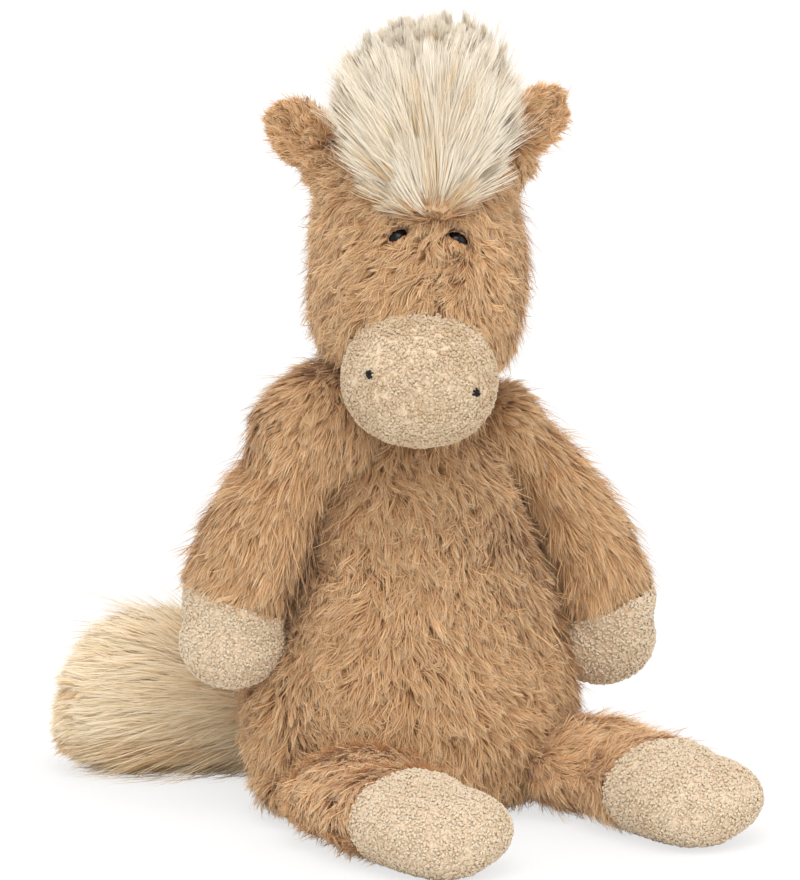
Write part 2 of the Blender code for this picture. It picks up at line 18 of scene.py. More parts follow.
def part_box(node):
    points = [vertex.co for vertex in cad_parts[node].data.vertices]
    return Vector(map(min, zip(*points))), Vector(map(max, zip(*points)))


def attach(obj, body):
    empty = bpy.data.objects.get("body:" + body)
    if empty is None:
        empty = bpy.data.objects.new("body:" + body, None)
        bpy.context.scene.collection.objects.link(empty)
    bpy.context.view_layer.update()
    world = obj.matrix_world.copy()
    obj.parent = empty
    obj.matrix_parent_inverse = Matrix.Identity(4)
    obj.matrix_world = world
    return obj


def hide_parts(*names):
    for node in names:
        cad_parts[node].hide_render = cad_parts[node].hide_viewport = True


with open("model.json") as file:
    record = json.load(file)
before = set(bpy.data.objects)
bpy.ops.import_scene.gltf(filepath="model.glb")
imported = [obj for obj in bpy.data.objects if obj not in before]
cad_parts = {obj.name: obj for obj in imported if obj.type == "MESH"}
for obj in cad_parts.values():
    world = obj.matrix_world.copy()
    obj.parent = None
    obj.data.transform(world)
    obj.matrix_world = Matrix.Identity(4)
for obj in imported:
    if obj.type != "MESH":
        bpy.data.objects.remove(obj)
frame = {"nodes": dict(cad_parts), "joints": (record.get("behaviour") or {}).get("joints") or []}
nodes = frame["nodes"]
joints = {joint["name"]: joint for joint in frame["joints"]}
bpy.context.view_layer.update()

# The photograph's view
view_azimuth = math.radians(30)
view_elevation = math.radians(12)
view_distance = 12.0
view_height = 0.3975
view_right_shift = -0.0046
view_up_shift = 0.1628
floor_whiteness = 0.72
world_strength = 0.8

# Skins
voxel = 0.0022
smoothing_rounds = 14
smoothing_share = 0.6
smoothing_back = -0.62
floor_gap = 0.0004
largest_piece = 190000
sides = ("left", "right")

Skin = namedtuple("Skin", "points triangles normals")
Pile = namedtuple(
    "Pile",
    "length density inset reach root_lift tip_lift width steps lock_size lock_pull tuft_size tuft_pull "
    "lock_turn tuft_turn turn lift_spread curl droop",
)

pile_angles = ("root_lift", "tip_lift", "lock_turn", "tuft_turn", "turn", "lift_spread", "curl")

short_pile = Pile(
    length=0.015, density=1.9e6, inset=0.0046, reach=0.0052, root_lift=50, tip_lift=4, width=0.00036, steps=4,
    lock_size=0.0070, lock_pull=0.16, tuft_size=0.0022, tuft_pull=0.7, lock_turn=14, tuft_turn=24, turn=9,
    lift_spread=8, curl=62, droop=0.0012,
)
head_pile = short_pile._replace(length=0.0145, reach=0.0036, tuft_pull=0.56, lift_spread=6)
arm_pile = short_pile._replace(length=0.0175, reach=0.0036, tip_lift=0, tuft_turn=14, lock_turn=8, curl=30)
lid_pile = short_pile._replace(
    length=0.006, density=9e6, inset=0.0, reach=0.0018, root_lift=14, tip_lift=-6, width=0.0003,
    tuft_size=0.0011, tuft_pull=0.5, droop=0.0,
)
leg_pile = short_pile._replace(
    length=0.013, density=2.5e6, reach=0.0042, root_lift=34, tip_lift=0, tuft_size=0.0024, tuft_pull=0.45,
    lift_spread=5, curl=40,
)
ear_pile = short_pile._replace(
    length=0.0105, density=2.6e6, inset=0.002, reach=0.0034, root_lift=28, tip_lift=0, tuft_size=0.002, tuft_pull=0.55
)
long_pile = Pile(
    length=0.036, density=2.8e6, inset=0.0042, reach=0.0076, root_lift=14, tip_lift=3, width=0.0004, steps=6,
    lock_size=0.0075, lock_pull=0.15, tuft_size=0.0030, tuft_pull=0.36, lock_turn=5, tuft_turn=7, turn=4,
    lift_spread=4, curl=10, droop=0.0,
)
forelock_pile = long_pile._replace(tuft_size=0.0042, tuft_pull=0.52, lock_pull=0.2)
tail_pile = long_pile._replace(
    length=0.042, density=2.2e6, reach=0.0040, root_lift=11, tuft_pull=0.4, droop=0.002
)
mane_pile = long_pile._replace(length=0.027, density=1.8e6, tuft_turn=14, droop=0.004)
root_pile = long_pile._replace(length=0.0105, density=6e6, inset=0.001, steps=4, tuft_turn=24, turn=14)
lowest_lift = math.radians(-12)
tone_range = 5
stray_share = 0.13
seam_overlap = 0.003
stray_lift = math.radians(20)
seam_shifts = {
    ("hand", "left"): 0.0110, ("hand", "right"): 0.0070, ("foot", "left"): 0.0100, ("foot", "right"): 0.0080
}

# Fur that stands fuller than the CAD covers where limbs meet the torso
collar_drop = -0.006
collar_radii = (0.036, 0.034, 0.019)
more_depths = {"arm_left": 0.6}
wrist_reach = 0.028
hand_shifts = {"left": (0.0005, 0.0, -0.0095), "right": (-0.0015, 0.0, -0.0075)}
hand_radii = (0.0240, 0.0215, 0.0210)
tail_neck_shift = (-0.008, 0.007, 0.002)
tail_neck_radii = (0.019, 0.015, 0.019)
foot_shift = (0.0045, 0.0, -0.0025)
foot_radii = (0.0315, 0.0290, 0.0190)
thigh_shift = (0.009, -0.008, 0.006)
thigh_radii = (0.036, 0.032, 0.0225)
hip_middle = (0.052, -0.014, 0.0165)
hip_radii = (0.031, 0.040, 0.0165)
shoulder_caps = {
    "left": [((0.006, 0.0, 0.004), (0.022, 0.024, 0.024))],
    "right": [((-0.006, 0.0, 0.003), (0.032, 0.025, 0.0285)), ((-0.022, 0.0, -0.003), (0.023, 0.023, 0.026))],
}
ear_root_shifts = {"left": (0.001, 0.0, -0.010), "right": (0.0035, 0.0, -0.007)}
ear_root_radii = (0.0115, 0.010, 0.015)

# Long pile, and the left cheek
tail_cap = 0.030
tail_cap_lift = math.radians(42)
tail_cap_depth = 1.5
tail_ends = (-0.010, -0.0015)
parting_width = 0.006
tip_depth = 1.0
root_zone = 0.42
tip_reach = 0.009
crown_depth = 1.4
crown_height = 0.03
crown_lift = math.radians(50)
left_start = 0.018
left_width = 0.02
left_depth = 1.5
narrowing = 0.9
narrowing_start = (0.022, 0.25)
narrowing_width = (0.015, 0.025)

# Ears, with painted shade in the lining's hollow and painted light over the whole ear, and the tones of limbs, with
# painted light on the legs
ear_hollow = 1.9
ear_hollow_height = 0.016
ear_hollow_width = 0.0055
ear_point = 0.5
# Painted shade darkens the hollow down each lining; the value after it lightens each ear's fur with painted light.
ear_shade = 0.45
painted_ear_light = 1.3
# Painted light lightens the leg fur, standing in for light from above; the arms get none.
painted_limb_light = {"arm": 0.0, "leg": 1.9}

# Looped cloth
loop_spacing = 0.00132
loop_radius = 0.00095
loop_yarn = 0.00062
loop_inset = 0.0002
loop_steps = 5
muzzle_tone = -1.3
loop_turn = math.radians(240)
loop_skin_inset = 0.0001

# Eyes and nostrils
eye_rise = 0.0012
eye_asides = {"left": 0.0012, "right": -0.0004}
eye_window_rise = 0.0014
eye_window_asides = {1: 0.0006, -1: 0.0}
eye_window = (0.0056, 0.0034)
eye_slit = (0.0047, 0.0020)
eye_window_slant = math.radians(34)
lid_lift = math.radians(12)
lid_gap = 0.0005
lid_reach = 0.011
eye_segments = 48
eye_rings = 14
nostril_shifts = {"left": np.array([0.0013, 0.0, -0.0026]), "right": np.array([-0.0016, 0.0, 0.0022])}
stitch_length = 0.0042
stitch_radius = 0.0006
stitch_count = 3
nostril_opening = 0.0021
floor_reach = 30


def random_source(seed):
    """Seeded random numbers, so that every run makes the same toy."""
    return np.random.default_rng(seed)


def unit(vectors):
    """Vectors of length one."""
    return vectors / np.maximum(np.linalg.norm(vectors, axis=-1, keepdims=True), 1e-12)


def laid_flat(flow, normals):
    """Directions turned into the plane square to the normals."""
    return unit(flow - normals * (flow * normals).sum(1, keepdims=True))


def corners_of(node):
    """The low and high corners of a CAD node's box."""
    return [np.array(corner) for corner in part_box(node)]


def waves(points, size, seed, count=7):
    """Smooth noise from about -1 to 1, with features of this size."""
    rng = random_source(seed)
    ways = unit(rng.normal(size=(count, 3))) * math.tau / size * rng.uniform(0.6, 1.4, (count, 1))
    return np.sin(points @ ways.T + rng.uniform(0, math.tau, count)).sum(1) / math.sqrt(count)


def mesh_arrays(mesh):
    """A mesh's points and triangles."""
    points = np.empty(3 * len(mesh.vertices), np.float32)
    mesh.vertices.foreach_get("co", points)
    mesh.calc_loop_triangles()
    triangles = np.empty(3 * len(mesh.loop_triangles), np.int32)
    mesh.loop_triangles.foreach_get("vertices", triangles)
    return points.reshape(-1, 3).astype(float), triangles.reshape(-1, 3)


def new_mesh(name, points, triangles, uvs=None):
    """A smooth-shaded mesh of triangles, with one UV point for each corner if they are given."""
    mesh = bpy.data.meshes.new(name)
    mesh.vertices.add(len(points))
    mesh.vertices.foreach_set("co", np.asarray(points, np.float32).ravel())
    mesh.loops.add(3 * len(triangles))
    mesh.loops.foreach_set("vertex_index", np.asarray(triangles, np.int32).ravel())
    mesh.polygons.add(len(triangles))
    mesh.polygons.foreach_set("loop_start", np.arange(0, 3 * len(triangles), 3, dtype=np.int32))
    mesh.update(calc_edges=True)
    mesh.shade_smooth()
    if uvs is not None:
        layer = mesh.uv_layers.new(name="OFBake")
        layer.data.foreach_set("uv", np.asarray(uvs, np.float32).ravel())
    return mesh


def new_object(name, data):
    """An object of this mesh, camera or light in the scene."""
    obj = bpy.data.objects.new(name, data)
    bpy.context.scene.collection.objects.link(obj)
    return obj


def finish_piece(name, mesh, body, material, replaced=()):
    """A piece of the toy that rides on a body and may stand for CAD nodes."""
    obj = new_object(name, mesh)
    mesh.materials.clear()
    mesh.materials.append(material)
    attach(obj, body)
    if replaced:
        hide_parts(*replaced)
    return obj


def ellipsoid(centre, radii, turn=Matrix.Identity(3)):
    """The points and triangles of an ellipsoid."""
    bpy.ops.mesh.primitive_uv_sphere_add(segments=24, ring_count=16, radius=1)
    obj = bpy.context.object
    points, triangles = mesh_arrays(obj.data)
    mesh = obj.data
    bpy.data.objects.remove(obj)
    bpy.data.meshes.remove(mesh)
    return (points * radii) @ np.array(turn).T + np.array(centre), triangles


def vertex_normals(points, triangles):
    """The normals of a mesh's points, weighed by the area of their triangles."""
    corners = points[triangles]
    faces = np.cross(corners[:, 1] - corners[:, 0], corners[:, 2] - corners[:, 0])
    normals = np.zeros_like(points)
    for corner in range(3):
        for axis in range(3):
            normals[:, axis] += np.bincount(triangles[:, corner], faces[:, axis], len(points))
    return unit(normals)


def smoothed(points, triangles, rounds):
    """Points moved towards their neighbours and back again, which takes the facets but not the size."""
    starts = triangles.ravel()
    ends = triangles[:, [1, 2, 0]].ravel()
    counts = np.bincount(starts, minlength=len(points))[:, None]
    for number in range(2 * rounds):
        means = np.stack([np.bincount(starts, points[ends, axis], len(points)) for axis in range(3)], axis=1)
        share = smoothing_back if number % 2 else smoothing_share
        points = points + (means / np.maximum(counts, 1) - points) * share
    return points


def make_skin(names, extra=(), size=voxel, rounds=smoothing_rounds):
    """One closed outer skin around CAD nodes and any extra shapes, with its facets smoothed away."""
    shapes = [mesh_arrays(nodes[name].data) for name in names] + list(extra)
    counts = np.cumsum([0] + [len(points) for points, _ in shapes])
    points = np.concatenate([shape[0] for shape in shapes])
    triangles = np.concatenate([shape[1] + count for shape, count in zip(shapes, counts)])
    obj = new_object("skin", new_mesh("skin", points, triangles))
    remesh = obj.modifiers.new("Voxels", "REMESH")
    remesh.mode = "VOXEL"
    remesh.voxel_size = size
    graph = bpy.context.evaluated_depsgraph_get()
    made = bpy.data.meshes.new_from_object(obj.evaluated_get(graph))
    points, triangles = mesh_arrays(made)
    bpy.data.objects.remove(obj)
    bpy.data.meshes.remove(made)
    points = smoothed(points, triangles, rounds)
    return Skin(points, triangles, vertex_normals(points, triangles))


def centres_of(skin):
    """The middle of every triangle of a skin."""
    return skin.points[skin.triangles].mean(1)


def distance_to(tree, points):
    """How far points lie from a BVH tree's surface."""
    return np.array([tree.find_nearest(point)[3] for point in points])


def tree_of(points, triangles):
    """A BVH tree of a mesh."""
    return BVHTree.FromPolygons(points.tolist(), triangles.tolist())


def nearer_to(skin, first, second, margin=0.0):
    """Which of a skin's triangles lie nearer, by a margin, to one CAD node than to another."""
    middles = centres_of(skin)
    near, far = (distance_to(tree_of(*mesh_arrays(nodes[name].data)), middles) for name in (first, second))
    return near + margin < far


def part_of(skin, chosen):
    """The skin's triangles that are chosen, as a skin of its own."""
    used, triangles = np.unique(skin.triangles[chosen], return_inverse=True)
    return Skin(skin.points[used], triangles.reshape(-1, 3), skin.normals[used])


def deepen(skin, inset):
    """A skin moved in along its normals, and kept above the floor."""
    points = skin.points - skin.normals * inset
    points[:, 2] = np.maximum(points[:, 2], floor_gap)
    return skin._replace(points=points)


def make_base(name, skin, inset, body, material, replaced):
    """The cloth backing under a pile."""
    deep = deepen(skin, inset)
    piece = finish_piece(name, new_mesh(name, deep.points, deep.triangles), body, material, replaced)


def scatter(skin, density, seed):
    """Random places on a skin, at this many a square metre, with their normals."""
    rng = random_source(seed)
    corners = skin.points[skin.triangles]
    areas = np.linalg.norm(np.cross(corners[:, 1] - corners[:, 0], corners[:, 2] - corners[:, 0]), axis=1) / 2
    count = int(areas.sum() * density)
    chosen = rng.choice(len(areas), count, p=areas / areas.sum())
    first, second = rng.random((2, count))
    over = first + second > 1
    first[over], second[over] = 1 - first[over], 1 - second[over]
    shares = np.stack([1 - first - second, first, second], axis=1)[..., None]
    places = (corners[chosen] * shares).sum(1)
    normals = unit((skin.normals[skin.triangles[chosen]] * shares).sum(1))
    return places, normals


def nearest(points, centres):
    """The index of the nearest centre for each point."""
    tree = KDTree(len(centres))
    for index, centre in enumerate(centres):
        tree.insert(centre, index)
    tree.balance()
    return np.array([tree.find(point)[1] for point in points])


def turned(vectors, axes, angles):
    """Vectors turned about their own unit axes, which they are square to."""
    return vectors * np.cos(angles)[:, None] + np.cross(axes, vectors) * np.sin(angles)[:, None]


def comb(places, normals, flow, pile, seed, blocked, insets, more_lift=0.0):
    """The points along every hair, gathered in curled tufts and loose locks, and each hair's tone.

    A tuft whose middle hair is blocked somewhere is made shorter as a whole, so that it still ends in a point.
    """
    pile = pile._replace(**{name: math.radians(getattr(pile, name)) for name in pile_angles})
    rng = random_source(seed)
    count = len(places)
    order = rng.permutation(count)
    locks = order[: max(int(count / (pile.density * pile.lock_size**2)), 1)]
    tufts = order[: max(int(count / (pile.density * pile.tuft_size**2)), 1)]
    lock_of = nearest(places, places[locks])
    tuft_of = nearest(places, places[tufts])
    along = laid_flat(flow, normals)
    turns = rng.normal(0, pile.lock_turn, len(locks))[lock_of]
    turns += rng.normal(0, pile.tuft_turn, len(tufts))[tuft_of] + rng.normal(0, pile.turn, count)
    curls = rng.normal(0, pile.curl, len(tufts))[tuft_of] + rng.normal(0, pile.curl / 4, count)
    stray = rng.random(count) < stray_share
    lifts = rng.normal(0, pile.lift_spread, len(tufts))[tuft_of] + stray * stray_lift + more_lift
    lengths = pile.length * np.clip(rng.normal(1, 0.14, count), 0.55, 1.4)
    lengths *= np.clip(rng.normal(1, 0.14, len(tufts)), 0.6, 1.35)[tuft_of]
    shares = np.linspace(0, 1, pile.steps + 1)
    paths = np.empty((count, pile.steps + 1, 3))
    paths[:, 0] = places - normals * insets[:, None]
    for step in range(pile.steps):
        share = (shares[step] + shares[step + 1]) / 2
        lift = pile.root_lift + (pile.tip_lift - pile.root_lift) * math.sqrt(share) + lifts
        lift = np.maximum(lift, lowest_lift)[:, None]
        way = turned(along, normals, turns + curls * (share - 0.3))
        move = way * np.cos(lift) + normals * np.sin(lift)
        paths[:, step + 1] = paths[:, step] + move * (lengths / pile.steps)[:, None]
    paths[..., 2] -= pile.droop * shares**2
    paths, kept = trimmed(paths, blocked(paths[tufts])[tuft_of])
    pull = np.where(stray, 0.15, 1.0)[:, None, None] * shares[None, :, None] ** 1.2
    paths += (paths[tufts][tuft_of] - paths) * pile.tuft_pull * pull
    paths += (paths[locks][lock_of] - paths) * pile.lock_pull * pull
    paths[..., 2] = np.maximum(paths[..., 2], floor_gap)
    tones = rng.normal(0, 0.6, len(tufts))[tuft_of] + rng.normal(0, 0.6, count)
    return paths, tones, kept


def trimmed(paths, bad):
    """Hairs shortened to end just before their first bad point, and which of them are long enough to keep."""
    steps = paths.shape[1] - 1
    first_bad = np.where(bad.any(1), bad.argmax(1), steps + 1)
    ends = np.minimum(np.maximum(first_bad - 0.5, 0), steps)
    places = np.linspace(0, 1, steps + 1)[None] * ends[:, None]
    low = np.minimum(places.astype(int), steps - 1)
    share = (places - low)[..., None]
    rows = np.arange(len(paths))[:, None]
    return paths[rows, low] * (1 - share) + paths[rows, low + 1] * share, ends > 0.9


def beyond(paths, inner, outer):
    """Which points of the hairs lie nearer to another cloth than to their own and well past the seam."""
    own, other = tree_of(inner.points, inner.triangles), tree_of(outer.points, outer.triangles)
    bad = np.zeros(paths.shape[:2], bool)
    for step in range(1, paths.shape[1]):
        for index, point in enumerate(paths[:, step]):
            gone = own.find_nearest(point)[3]
            bad[index, step] = gone > seam_overlap and other.find_nearest(point)[3] < gone
    return bad


def too_proud(paths, skin, reach, seed):
    """Which points of the hairs stand further out of a skin than the pile reaches."""
    tree = tree_of(skin.points, skin.triangles)
    limits = reach * random_source(seed).uniform(0.1, 1.0, len(paths))
    bad = np.zeros(paths.shape[:2], bool)
    for step in range(2, paths.shape[1]):
        for index, point in enumerate(paths[:, step]):
            place, normal, _, distance = tree.find_nearest(point)
            bad[index, step] = distance > limits[index] and normal.dot(Vector(point) - place) > 0
    return bad


def ribbons(paths, normals, tones, width, seed):
    """Points, triangles and UV points of flat tapering hairs that mostly face outwards."""
    rng = random_source(seed)
    count, steps, _ = paths.shape
    tangents = unit(np.gradient(paths, axis=1))
    facing = unit(normals + rng.normal(0, 0.28, normals.shape))
    across = unit(np.cross(tangents, facing[:, None]))
    shares = np.linspace(0, 1, steps)
    half = width / 2 * np.sqrt(np.maximum(1 - shares**2, 0))
    widths = rng.uniform(0.75, 1.25, count)[:, None, None] * half[None, :, None]
    left = (paths - across * widths)[:, :-1]
    right = (paths + across * widths)[:, :-1]
    points = np.concatenate([np.stack([left, right], axis=2).reshape(count, -1, 3), paths[:, -1:]], axis=1)
    rows = 2 * (steps - 1)
    quads = []
    for step in range(0, rows - 2, 2):
        quads += [(step, step + 1, step + 3), (step, step + 3, step + 2)]
    quads.append((rows - 2, rows - 1, rows))
    local = np.array(quads)
    up_hair = np.append(np.repeat(shares[:-1], 2), 1.0)
    uvs = uv_points(tones, np.clip(up_hair[local], 0.02, 0.98))
    return points.reshape(-1, 3), repeated(local, count, rows + 1), uvs


def repeated(local, count, size):
    """One item's triangles for every item, each of which has this many points."""
    return (local[None] + (np.arange(count) * size)[:, None, None]).reshape(-1, 3)


def uv_points(tones, along):
    """UV points that hold each item's tone and how far along it each corner lies."""
    uvs = np.empty((len(tones), len(along), 3, 2))
    uvs[..., 0] = np.clip(0.5 + tones / tone_range, 0.02, 0.98)[:, None, None]
    uvs[..., 1] = along[None]
    return uvs.reshape(-1, 2)


def make_pieces(name, heights, per_item, body, material, make):
    """Hairs or loops shared out over pieces small enough to export, sorted by height."""
    groups = math.ceil(len(heights) * per_item / largest_piece)
    for number, group in enumerate(np.array_split(np.argsort(heights), groups), 1):
        label = f"{name}_{number}" if groups > 1 else name
        finish_piece(label, new_mesh(label, *make(number, group)), body, material)


def grow(name, skin, flow_of, pile, body, slot, material, seed, **options):
    """A whole pile: scattered, combed, kept within its reach and made into pieces.

    The options are more_lift and inset_share, functions of the roots, tone, a function of the roots too,
    stop, a function that marks points where tufts must end, and shape, which moves and marks single hairs.
    """
    places, normals = scatter(skin, pile.density, seed)
    lift = options["more_lift"](places) if "more_lift" in options else 0.0
    insets = pile.inset * np.ones(len(places))
    surface = skin
    if "inset_share" in options:
        insets = pile.inset * options["inset_share"](places)
        surface = deepen(skin, pile.inset * np.maximum(options["inset_share"](skin.points) - 1, 0)[:, None])

    def blocked(paths):
        bad = too_proud(paths, surface, pile.reach, seed + 2)
        return bad | options["stop"](paths) if "stop" in options else bad

    paths, tones, kept = comb(places, normals, flow_of(places, normals), pile, seed + 1, blocked, insets, lift)
    if "tone" in options:
        tones += options["tone"](places)
    if "shape" in options:
        paths, bad = options["shape"](paths)
        paths, long_enough = trimmed(paths, bad)
        kept &= long_enough
    paths, normals, tones = paths[kept], normals[kept], tones[kept]

    def make(number, group):
        return ribbons(paths[group], normals[group], tones[group], pile.width, seed + 3 + number)

    make_pieces(name, paths[:, 0, 2], 2 * pile.steps - 1, body, material, make)


def tubes(paths, radius, tones, round_sides=5):
    """Points, triangles and UV points of round yarns along paths of equally many points."""
    count, steps, _ = paths.shape
    tangents = unit(np.gradient(paths, axis=1))
    reference = unit(np.cross(tangents, tangents[:, ::-1]) + 1e-5)
    first = unit(np.cross(tangents, reference))
    second = np.cross(tangents, first)
    angles = np.arange(round_sides) * math.tau / round_sides
    shares = np.linspace(-1, 1, steps)
    sizes = radius * np.sqrt(1 - 0.65 * shares**4)
    rings = np.cos(angles)[:, None] * first[:, :, None] + np.sin(angles)[:, None] * second[:, :, None]
    points = paths[:, :, None] + rings * sizes[:, None, None]
    local = []
    for step in range(steps - 1):
        for side in range(round_sides):
            low, low_next = step * round_sides + side, step * round_sides + (side + 1) % round_sides
            local += [(low, low_next, low_next + round_sides), (low, low_next + round_sides, low + round_sides)]
    last = (steps - 1) * round_sides
    for side in range(1, round_sides - 1):
        local += [(0, side + 1, side), (last, last + side, last + side + 1)]
    local = np.array(local)
    along = np.repeat(np.linspace(0.02, 0.98, steps), round_sides)
    return points.reshape(-1, 3), repeated(local, count, steps * round_sides), uv_points(tones, along[local])


def loop_paths(places, normals, seed):
    """Small hooked arcs of yarn, turned every way, that stand on a skin."""
    rng = random_source(seed)
    count = len(places)
    first = unit(rng.normal(size=(count, 3)) + normals * rng.normal(0, 0.7, (count, 1)))
    second = unit(np.cross(first, rng.normal(size=(count, 3))))
    angles = np.linspace(0, loop_turn, loop_steps + 1)
    sizes = loop_radius * rng.uniform(0.75, 1.25, (count, 1, 1))
    arcs = np.cos(angles)[None, :, None] * first[:, None] + np.sin(angles)[None, :, None] * second[:, None]
    paths = places[:, None] - normals[:, None] * loop_inset + arcs * sizes
    paths += np.linspace(-1, 1, loop_steps + 1)[None, :, None] * np.cross(first, second)[:, None] * loop_yarn
    paths[..., 2] = np.maximum(paths[..., 2], floor_gap + loop_yarn)
    return paths


def make_loops(name, skin, body, material, seed, windows=(), tone=0.0):
    """The looped cloth of a muzzle, hand or foot, left open over the windows."""
    places, normals = scatter(skin, 1 / loop_spacing**2, seed)
    for centre, radius in windows:
        keep = np.linalg.norm(places - np.array(centre), axis=1) > radius
        places, normals = places[keep], normals[keep]
    tones = tone + waves(places, 0.02, seed) * 0.4 + random_source(seed + 1).normal(0, 0.4, len(places))
    paths = loop_paths(places, normals, seed + 2)

    def make(number, group):
        return tubes(paths[group], loop_yarn, tones[group])

    make_pieces(name, places[:, 2], 10 * loop_steps + 6, body, material, make)


def socket(material, name):
    """A material's shader input."""
    return material.node_tree.nodes["Principled BSDF"].inputs[name]


def linear(colour):
    """An sRGB colour from 0 to 255 as linear shares with full alpha."""
    shares = np.array(colour, float) / 255
    low = shares / 12.92
    high = ((shares + 0.055) / 1.055) ** 2.4
    return (*np.where(shares <= 0.04045, low, high), 1.0)


def new_material(name, roughness, sheen=0.0):
    """A Principled material with its plain numbers set."""
    material = bpy.data.materials.new(name)
    material.use_nodes = True
    socket(material, "Roughness").default_value = roughness
    socket(material, "Sheen Weight").default_value = sheen
    socket(material, "Sheen Roughness").default_value = 0.4
    socket(material, "Specular IOR Level").default_value = 0.3
    return material


def ramp(material, stops):
    """A colour ramp node with these (place, sRGB colour) stops."""
    node = material.node_tree.nodes.new("ShaderNodeValToRGB")
    elements = node.color_ramp.elements
    while len(elements) < len(stops):
        elements.new(0.5)
    for element, (place, colour) in zip(elements, stops):
        element.position = place
        element.color = linear(colour)
    return node


def hair_material(name, roots_to_tips, tones, roughness=0.75, sheen=0.25):
    """Hair whose colour runs from root to tip and is tinted hair by hair."""
    material = new_material(name, roughness, sheen)
    tree = material.node_tree
    uv = tree.nodes.new("ShaderNodeUVMap")
    uv.uv_map = "OFBake"
    split = tree.nodes.new("ShaderNodeSeparateXYZ")
    along = ramp(material, roots_to_tips)
    tint = ramp(material, tones)
    mix = tree.nodes.new("ShaderNodeMix")
    mix.data_type = "RGBA"
    mix.blend_type = "MULTIPLY"
    mix.inputs["Factor"].default_value = 1.0
    tree.links.new(uv.outputs["UV"], split.inputs["Vector"])
    tree.links.new(split.outputs["Y"], along.inputs["Fac"])
    tree.links.new(split.outputs["X"], tint.inputs["Fac"])
    tree.links.new(along.outputs["Color"], mix.inputs["A"])
    tree.links.new(tint.outputs["Color"], mix.inputs["B"])
    tree.links.new(mix.outputs["Result"], socket(material, "Base Color"))
    return material


def cloth_material(name, dark, light, scale, bump, roughness=0.9):
    """Plain cloth or stuffing with a mottled colour and a fine bump."""
    material = new_material(name, roughness, 0.2)
    tree = material.node_tree
    coordinates = tree.nodes.new("ShaderNodeTexCoord")
    noise = tree.nodes.new("ShaderNodeTexNoise")
    noise.inputs["Scale"].default_value = scale
    noise.inputs["Detail"].default_value = 4
    colours = ramp(material, ((0.35, dark), (0.65, light)))
    raised = tree.nodes.new("ShaderNodeBump")
    raised.inputs["Strength"].default_value = bump
    raised.inputs["Distance"].default_value = 0.001
    tree.links.new(coordinates.outputs["Object"], noise.inputs["Vector"])
    tree.links.new(noise.outputs["Fac"], colours.inputs["Fac"])
    tree.links.new(noise.outputs["Fac"], raised.inputs["Height"])
    tree.links.new(colours.outputs["Color"], socket(material, "Base Color"))
    tree.links.new(raised.outputs["Normal"], socket(material, "Normal"))
    return material


camel_tints = ((0.0, (184, 162, 140)), (0.16, (211, 199, 186)), (0.5, (223, 216, 208)), (0.9, (255, 255, 253)))
cream_tints = ((0.0, (222, 190, 152)), (0.14, (242, 226, 198)), (0.3, (251, 244, 231)), (0.5, (255, 254, 251)))
forelock_tints = ((0.0, (216, 180, 138)), (0.12, (240, 222, 192)), (0.26, (250, 244, 232)), (0.45, (255, 254, 252)))
camel_fur = hair_material(
    "camel_fur",
    ((0.0, (206, 159, 112)), (0.4, (227, 181, 133)), (0.75, (243, 204, 157)), (1.0, (254, 234, 199))),
    camel_tints,
)
cream_pile = hair_material(
    "cream_pile",
    ((0.0, (238, 226, 207)), (0.4, (240, 230, 213)), (1.0, (242, 234, 220))),
    forelock_tints, roughness=0.6, sheen=0.6,
)
tail_cream = hair_material(
    "tail_cream", ((0.0, (242, 216, 180)), (0.4, (248, 229, 198)), (1.0, (252, 240, 217))), cream_tints, roughness=0.6
)
loop_tints = ((0.0, (214, 196, 173)), (0.2, (228, 217, 202)), (0.5, (246, 241, 234)), (1.0, (255, 255, 255)))
cream_loops = hair_material(
    "cream_loops", ((0.0, (222, 203, 177)), (0.5, (239, 226, 205)), (1.0, (222, 203, 177))), loop_tints, roughness=0.85
)
camel_backing = cloth_material("camel_backing", (168, 124, 88), (188, 144, 106), 400, 0.4)
cream_backing = cloth_material("cream_backing", (236, 222, 200), (244, 232, 212), 500, 0.3)
tan_backing = cloth_material("tan_backing", (204, 168, 130), (222, 188, 150), 500, 0.3)
loop_backing = cloth_material("loop_backing", (222, 198, 168), (238, 216, 188), 900, 0.8)
fibre_material = cloth_material("stuffing", (232, 232, 228), (248, 248, 246), 250, 0.8)
pouch_material = cloth_material("pouch_cloth", (204, 196, 180), (222, 214, 198), 1500, 0.3)
tan_thread = cloth_material("tan_thread", (150, 112, 80), (196, 156, 118), 2500, 0.6, 0.6)
black_thread = cloth_material("black_thread", (12, 11, 11), (34, 31, 29), 2500, 0.6, 0.6)
washer_material = cloth_material("washer_plastic", (214, 214, 210), (226, 226, 222), 120, 0.05, 0.45)
eye_material = cloth_material("eye_plastic", (6, 5, 5), (9, 8, 8), 60, 0.0, 0.12)
socket(eye_material, "Sheen Weight").default_value = 0.0
socket(black_thread, "Sheen Weight").default_value = 0.0


def middle_of(node):
    """The middle of a CAD node's box."""
    return np.mean(corners_of(node), axis=0)


def head_frame():
    """The middle of the neck, and the head's own left, back and up directions as rows."""
    left = unit(middle_of("eye_left") - middle_of("eye_right"))
    back = unit(np.cross([0, 0, 1.0], left))
    return np.array(joints["head_nod"]["pos_m"]), np.stack([left, back, np.cross(left, back)])


def in_head(places):
    """Places seen from the neck in the head's own directions."""
    return (places - neck_point) @ head_axes.T


def eye_axes(axis):
    """The directions to an eye's right and up."""
    right = unit(np.cross([0, 0, 1.0], axis))
    return right, np.cross(axis, right)


def eye_line(side):
    """The middle of an eye's dome, a little higher than in the CAD, and the direction that it looks in."""
    points, _ = mesh_arrays(nodes[f"eye_{side}"].data)
    middle = points.mean(0)
    axis = np.linalg.svd(points - middle)[2][0]
    axis *= -np.sign(axis[1])
    right, up = eye_axes(axis)
    middle += up * eye_rise + right * eye_asides[side]
    heights = (points - points.mean(0)) @ axis
    return middle + axis * (heights.max() - eye_radius_of(points, axis)), axis


